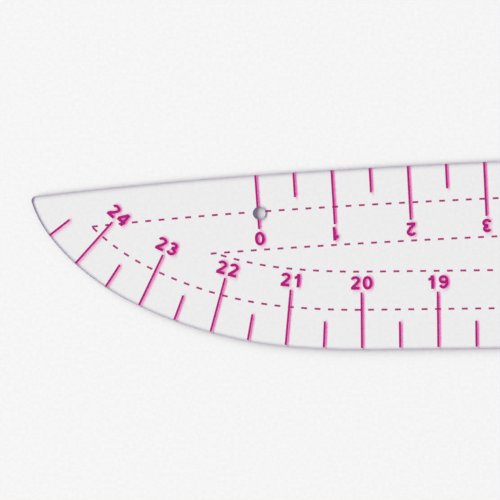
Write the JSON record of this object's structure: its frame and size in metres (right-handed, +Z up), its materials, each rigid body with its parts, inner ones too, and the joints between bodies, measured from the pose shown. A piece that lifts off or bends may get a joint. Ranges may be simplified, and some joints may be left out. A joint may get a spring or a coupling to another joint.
{
  "type": "french curve",
  "caption": "Flat clear acrylic dressmaker's french curve with printed inch scales along both edges, dashed seam-allowance lines and a hanging hole.",
  "frame": {"origin": "axis of the hanging hole, at the sheet's underside", "axes": "+X along the sheet from the tip to the far end, +Y across it to the upper scale edge, +Z up through its thickness, out of the face that carries the scales"},
  "size_m": [0.6182, 0.0684, 0.0011],
  "materials": {
    "acrylic": "clear cast acrylic sheet, polished faces and laser-cut edges",
    "magenta_ink": "screen-printed magenta ink on the upper face",
    "plum_ink": "screen-printed magenta ink on the underside, seen through the sheet"
  },
  "bodies": {
    "root": {"clear_sheet": "acrylic", "upper_inch_marks": "magenta_ink", "upper_half_inch_marks": "magenta_ink", "upper_numerals": "magenta_ink", "curved_inch_marks": "magenta_ink", "curved_half_inch_marks": "magenta_ink", "curved_numerals": "magenta_ink", "upper_half_inch_seam_line": "plum_ink", "upper_one_inch_seam_line": "plum_ink", "curved_half_inch_seam_line": "plum_ink", "curved_one_inch_seam_line": "plum_ink"}
  },
  "joints": []
}
